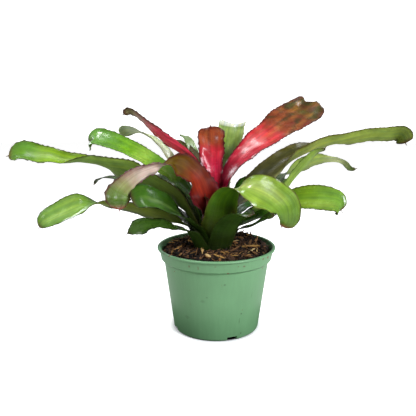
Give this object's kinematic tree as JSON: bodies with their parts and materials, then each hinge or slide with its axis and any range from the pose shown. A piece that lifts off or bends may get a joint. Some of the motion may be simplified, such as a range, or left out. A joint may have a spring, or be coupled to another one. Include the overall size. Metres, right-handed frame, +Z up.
{
  "type": "potted neoregelia bromeliad",
  "caption": "Neoregelia bromeliad: a rosette of long strap leaves, red at the heart and green outside, in a tapered green nursery pot filled with bark mix.",
  "frame": {"origin": "centre of the pot's underside, on the pot's axis", "axes": "+Z up, +X along the widest spread of the leaves, to the right seen from the front; -Y faces the viewer"},
  "size_m": [0.5291, 0.2339, 0.3091],
  "materials": {
    "pot_plastic": "satin injection-moulded polypropylene, mid green",
    "bark_mix": "loose composted bark with tan wood slivers",
    "stem_wood": "short fibrous stem, dull brown",
    "leaf_red": "waxy leaf, crimson with maroon spiny margins",
    "leaf_olive": "waxy leaf, dark olive above and grey-green below",
    "leaf_green": "waxy leaf, bright green above and grey-green below",
    "leaf_pale": "waxy leaf, pale green with a grey bloom",
    "leaf_dark": "waxy leaf, dark green"
  },
  "bodies": {
    "root": {"pot": "pot_plastic", "soil": "bark_mix", "stem": "stem_wood", "leaf_upright_centre": "leaf_red", "leaf_heart": "leaf_red", "leaf_heart_left": "leaf_red", "leaf_heart_front": "leaf_red", "leaf_big_red": "leaf_red", "leaf_red_left": "leaf_red", "leaf_pale_back": "leaf_pale", "leaf_bent_front": "leaf_red", "leaf_upper_left": "leaf_green", "leaf_far_right": "leaf_olive", "leaf_dark_back_left": "leaf_olive", "leaf_curled_right": "leaf_pale", "leaf_grey_back_left": "leaf_pale", "leaf_back_right": "leaf_green", "leaf_broad_front": "leaf_green", "leaf_far_left": "leaf_olive", "leaf_narrow_tip_back": "leaf_pale", "leaf_narrow_right": "leaf_green", "leaf_front_left": "leaf_green", "leaf_back_high": "leaf_green", "leaf_right": "leaf_green", "leaf_low_left": "leaf_green", "leaf_back_far_right": "leaf_green", "leaf_back_left": "leaf_green", "leaf_low_right": "leaf_dark", "leaf_front_centre": "leaf_dark", "leaf_thin_left": "leaf_dark", "leaf_small_left": "leaf_dark", "leaf_back_low": "leaf_dark"}
  },
  "joints": []
}
